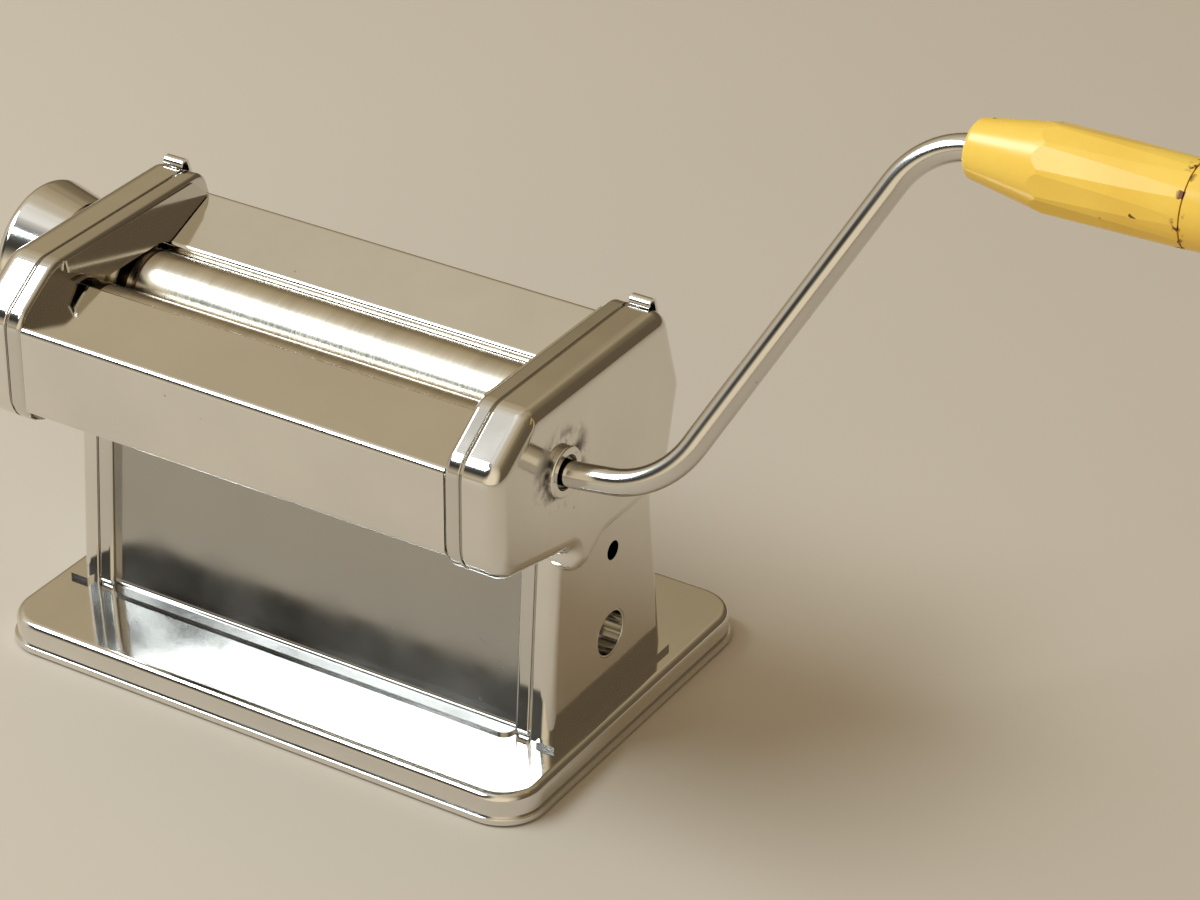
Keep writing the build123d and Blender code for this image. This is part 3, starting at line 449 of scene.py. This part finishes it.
class DOUGHROLLER_OT_housings(Operator):
    """Finish the side plates and their drawn covers"""

    bl_idname = "dough_roller.housings"
    bl_label = "Side housings"

    def execute(self, context):
        # side plates darkened to 0.86 of the chrome colour: painted shade on the inner side plates
        plates = chrome_finish("plate_chrome", 1.0, 0.4, shade_dimming=0.86)
        dress(plates, "side_plate_left", "side_plate_right")
        # dark ring on the right cover round the crank hole: painted shade mixed with grime
        around_crank = (tuple(CRANK_POINT), (0.0, 1.0, 1.0), SHADE_RING_INNER, SHADE_RING_OUTER)
        dress(chrome_finish("right_cover_chrome", 1.0, 0.5, around_crank), "side_cover_right")
        dress(chrome_finish("left_cover_chrome", 1.0, 0.5), "side_cover_left")
        dress(chrome_finish("socket_chrome", 1.0, 0.2), "clamp_socket", "crank_bushing")
        return {"FINISHED"}


class DOUGHROLLER_OT_sheets(Operator):
    """Finish the bent covers, the chute, the cheeks and the rails"""

    bl_idname = "dough_roller.sheets"
    bl_label = "Bent sheets"

    def execute(self, context):
        dress(chrome_finish("cover_chrome", 1.1, 0.5), "front_cover", "rear_cover")
        # chute darkened to 0.58 of the chrome colour: painted shade under the covers and rollers
        dress(chrome_finish("chute_chrome", 2.0, 0.7, shade_dimming=0.58), "dough_chute")
        dress(chrome_finish("cheek_chrome", 1.0, 0.3), "cheek_left", "cheek_right")
        dress(chrome_finish("rail_chrome", 1.2, 0.2), "rail_left", "rail_right")
        return {"FINISHED"}


class DOUGHROLLER_OT_rollers(Operator):
    """Finish the rollers, scrapers and tie rods"""

    bl_idname = "dough_roller.rollers"
    bl_label = "Rollers"

    def execute(self, context):
        dress(ground_steel_finish("roller_steel"), "front_roller", "rear_roller")
        steel = plain_steel_finish("inner_steel", (0.5, 0.49, 0.47))
        dress(
            steel,
            "scraper_front",
            "scraper_rear",
            "tie_rod_front",
            "tie_rod_rear",
            "tie_rod_lower",
            "tie_rod_nuts",
            "axle_bracket",
            "drive_gear",
            "driven_gear",
            "adjust_shaft",
            "spring_retainer",
            "grip_washer",
        )
        bronze = plain_steel_finish("bearing_bronze", (0.5, 0.33, 0.14), 0.4)
        dress(
            bronze,
            "front_bush_left",
            "front_bush_right",
            "slide_bush_left",
            "slide_bush_right",
            "shaft_bush",
        )
        return {"FINISHED"}


class DOUGHROLLER_OT_crank(Operator):
    """Finish the crank rod and its handle"""

    bl_idname = "dough_roller.crank"
    bl_label = "Crank"

    def execute(self, context):
        # crank rod darkened to 0.88 of the chrome colour: painted shade
        dress(chrome_finish("rod_chrome", 1.3, 0.1, shade_dimming=0.88), "crank_rod")
        low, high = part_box("handle_cap")
        seam = min((Vector(corner) - HANDLE_POINT).dot(HANDLE_AXIS) for corner in (low, high))
        dress(handle_finish("handle_plastic", seam), "handle_grip", "handle_cap")
        return {"FINISHED"}


class DOUGHROLLER_OT_knob(Operator):
    """Finish the gap knob and its index plate"""

    bl_idname = "dough_roller.knob"
    bl_label = "Gap knob"

    def execute(self, context):
        dress(chrome_finish("knob_chrome", 1.0, 0.3), "knob_shell", "setting_plate")
        dress(plain_steel_finish("knob_steel", (0.6, 0.59, 0.57)), "knob_hub", "knob_pin", "knob_spring")
        return {"FINISHED"}


def soft_lamp(name, place, aim, size, power, colour):
    """Rectangular area lamp aimed at a point."""
    data = bpy.data.lights.new(name, "AREA")
    data.shape = "RECTANGLE"
    data.size = size[0]
    data.size_y = size[1]
    data.energy = power
    data.color = colour
    lamp = bpy.data.objects.new(name, data)
    lamp.location = place
    direction = Vector(aim) - Vector(place)
    lamp.rotation_euler = direction.to_track_quat("-Z", "Y").to_euler()
    bpy.context.scene.collection.objects.link(lamp)
    return lamp


WINDOW_AIM = (0.0, 0.0, 0.08)
WINDOW_SIZE = (1.6, 0.7)
WINDOW_COLOUR = (0.84, 0.94, 1.0)
ROOM_SHADE = (0.05, 0.045, 0.035)
SHADE_DIRECTION = (-0.42, -0.66, 0.62)
ROOM_GLOW = (0.95, 0.82, 0.60)
GLOW_DIRECTION = (0.30, -0.90, 0.30)
ROOM_TONES = (
    (0.00, (0.115, 0.085, 0.052)),
    (0.45, (0.130, 0.096, 0.058)),
    (0.58, (0.230, 0.180, 0.105)),
    (0.70, (0.400, 0.320, 0.195)),
    (0.82, (0.520, 0.430, 0.290)),
    (0.93, (0.700, 0.640, 0.530)),
    (1.00, (0.950, 0.930, 0.880)),
)


def room_of_light(scene, towards, strength):
    """Warm room, pale around the window, with a dark patch and a lit patch in front."""
    world = bpy.data.worlds.new("room")
    world.use_nodes = True
    tree = world.node_tree
    tree.nodes.clear()
    output = tree.nodes.new("ShaderNodeOutputWorld")
    shade = tree.nodes.new("ShaderNodeBackground")
    source = tree.nodes.new("ShaderNodeTexCoord")
    facing = aligned(tree, source.outputs["Generated"], towards)
    drift = noise(tree, source.outputs["Generated"], 2.2, detail=2.0)
    place = combine(tree, "ADD", facing, remap(tree, drift, 0.3, 0.7, -0.16, 0.16))
    ramp = tree.nodes.new("ShaderNodeValToRGB")
    elements = ramp.color_ramp.elements
    while len(elements) < len(ROOM_TONES):
        elements.new(0.5)
    for element, (position, colour) in zip(elements, ROOM_TONES):
        element.position = position
        element.color = (*colour, 1.0)
    tree.links.new(remap(tree, place, -1.0, 1.0), ramp.inputs["Fac"])
    glow = remap(tree, aligned(tree, source.outputs["Generated"], GLOW_DIRECTION), 0.60, 0.92)
    tone = blend_colours(tree, glow, ramp.outputs["Color"], ROOM_GLOW)
    dim = remap(tree, aligned(tree, source.outputs["Generated"], SHADE_DIRECTION), 0.84, 0.95)
    tone = blend_colours(tree, dim, tone, ROOM_SHADE)
    tree.links.new(tone, shade.inputs["Color"])
    shade.inputs["Strength"].default_value = strength
    tree.links.new(shade.outputs["Background"], output.inputs["Surface"])
    scene.world = world


class DOUGHROLLER_OT_stage(Operator):
    """Build the floor, lamps, surroundings and camera"""

    bl_idname = "dough_roller.stage"
    bl_label = "Stage"

    def execute(self, context):
        scene = context.scene
        stage = scene.dough_roller_stage
        mesh = bpy.data.meshes.new("floor")
        shape = bmesh.new()
        bmesh.ops.create_grid(shape, x_segments=1, y_segments=1, size=stage.floor_size / 2)
        shape.to_mesh(mesh)
        shape.free()
        floor = bpy.data.objects.new("floor", mesh)
        scene.collection.objects.link(floor)
        material, tree, shader = new_material("floor_paper")
        mottling = noise(tree, object_coordinates(tree), 3.0, detail=3.0)
        base = tuple(stage.floor_colour)
        darker = tuple(c * 0.97 for c in base)
        paler = tuple(min(1.0, c * 1.03) for c in base)
        colour = blend_colours(tree, mottling, darker, paler)
        tree.links.new(colour, shader.inputs["Base Color"])
        shader.inputs["Roughness"].default_value = 0.9
        shader.inputs["Specular IOR Level"].default_value = 0.1
        mesh.materials.append(material)

        towards = Vector(stage.window_direction).normalized()
        room_of_light(scene, towards, stage.room_strength)
        window = towards * stage.window_distance
        soft_lamp("window", window, WINDOW_AIM, WINDOW_SIZE, stage.window_power, WINDOW_COLOUR)

        data = bpy.data.cameras.new("photo_camera")
        data.lens = CAMERA_LENS
        data.sensor_width = CAMERA_SENSOR
        data.sensor_fit = "HORIZONTAL"
        data.clip_end = CAMERA_FAR
        camera = bpy.data.objects.new("photo_camera", data)
        right = Vector(CAMERA_RIGHT).normalized()
        back = -Vector(CAMERA_FORWARD).normalized()
        up = back.cross(right).normalized()
        turn = Matrix((right, up, back)).transposed().to_4x4()
        camera.matrix_world = Matrix.Translation(CAMERA_PLACE) @ turn
        scene.collection.objects.link(camera)
        scene.camera = camera
        scene.view_settings.view_transform = "Standard"
        return {"FINISHED"}


STEPS = (
    DOUGHROLLER_OT_base,
    DOUGHROLLER_OT_housings,
    DOUGHROLLER_OT_sheets,
    DOUGHROLLER_OT_rollers,
    DOUGHROLLER_OT_crank,
    DOUGHROLLER_OT_knob,
    DOUGHROLLER_OT_stage,
)


class DOUGHROLLER_PT_panel(Panel):
    """Settings and steps of the dough roller."""

    bl_idname = "DOUGHROLLER_PT_panel"
    bl_label = "Dough roller"
    bl_space_type = "VIEW_3D"
    bl_region_type = "UI"
    bl_category = "Dough roller"

    def draw(self, context):
        layout = self.layout
        for group in (context.scene.dough_roller_finish, context.scene.dough_roller_stage):
            for name in group.__annotations__:
                layout.prop(group, name)
        for step in STEPS:
            layout.operator(step.bl_idname)


CLASSES = (DoughRollerFinish, DoughRollerStage, *STEPS, DOUGHROLLER_PT_panel)


def register():
    """Register the classes and their settings."""
    for item in CLASSES:
        bpy.utils.register_class(item)
    bpy.types.Scene.dough_roller_finish = PointerProperty(type=DoughRollerFinish)
    bpy.types.Scene.dough_roller_stage = PointerProperty(type=DoughRollerStage)


def unregister():
    """Remove the settings and the classes."""
    del bpy.types.Scene.dough_roller_stage
    del bpy.types.Scene.dough_roller_finish
    for item in reversed(CLASSES):
        bpy.utils.unregister_class(item)


def main():
    """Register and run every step."""
    register()
    for step in STEPS:
        group, name = step.bl_idname.split(".")
        getattr(getattr(bpy.ops, group), name)()


if __name__ == "__main__":
    main()
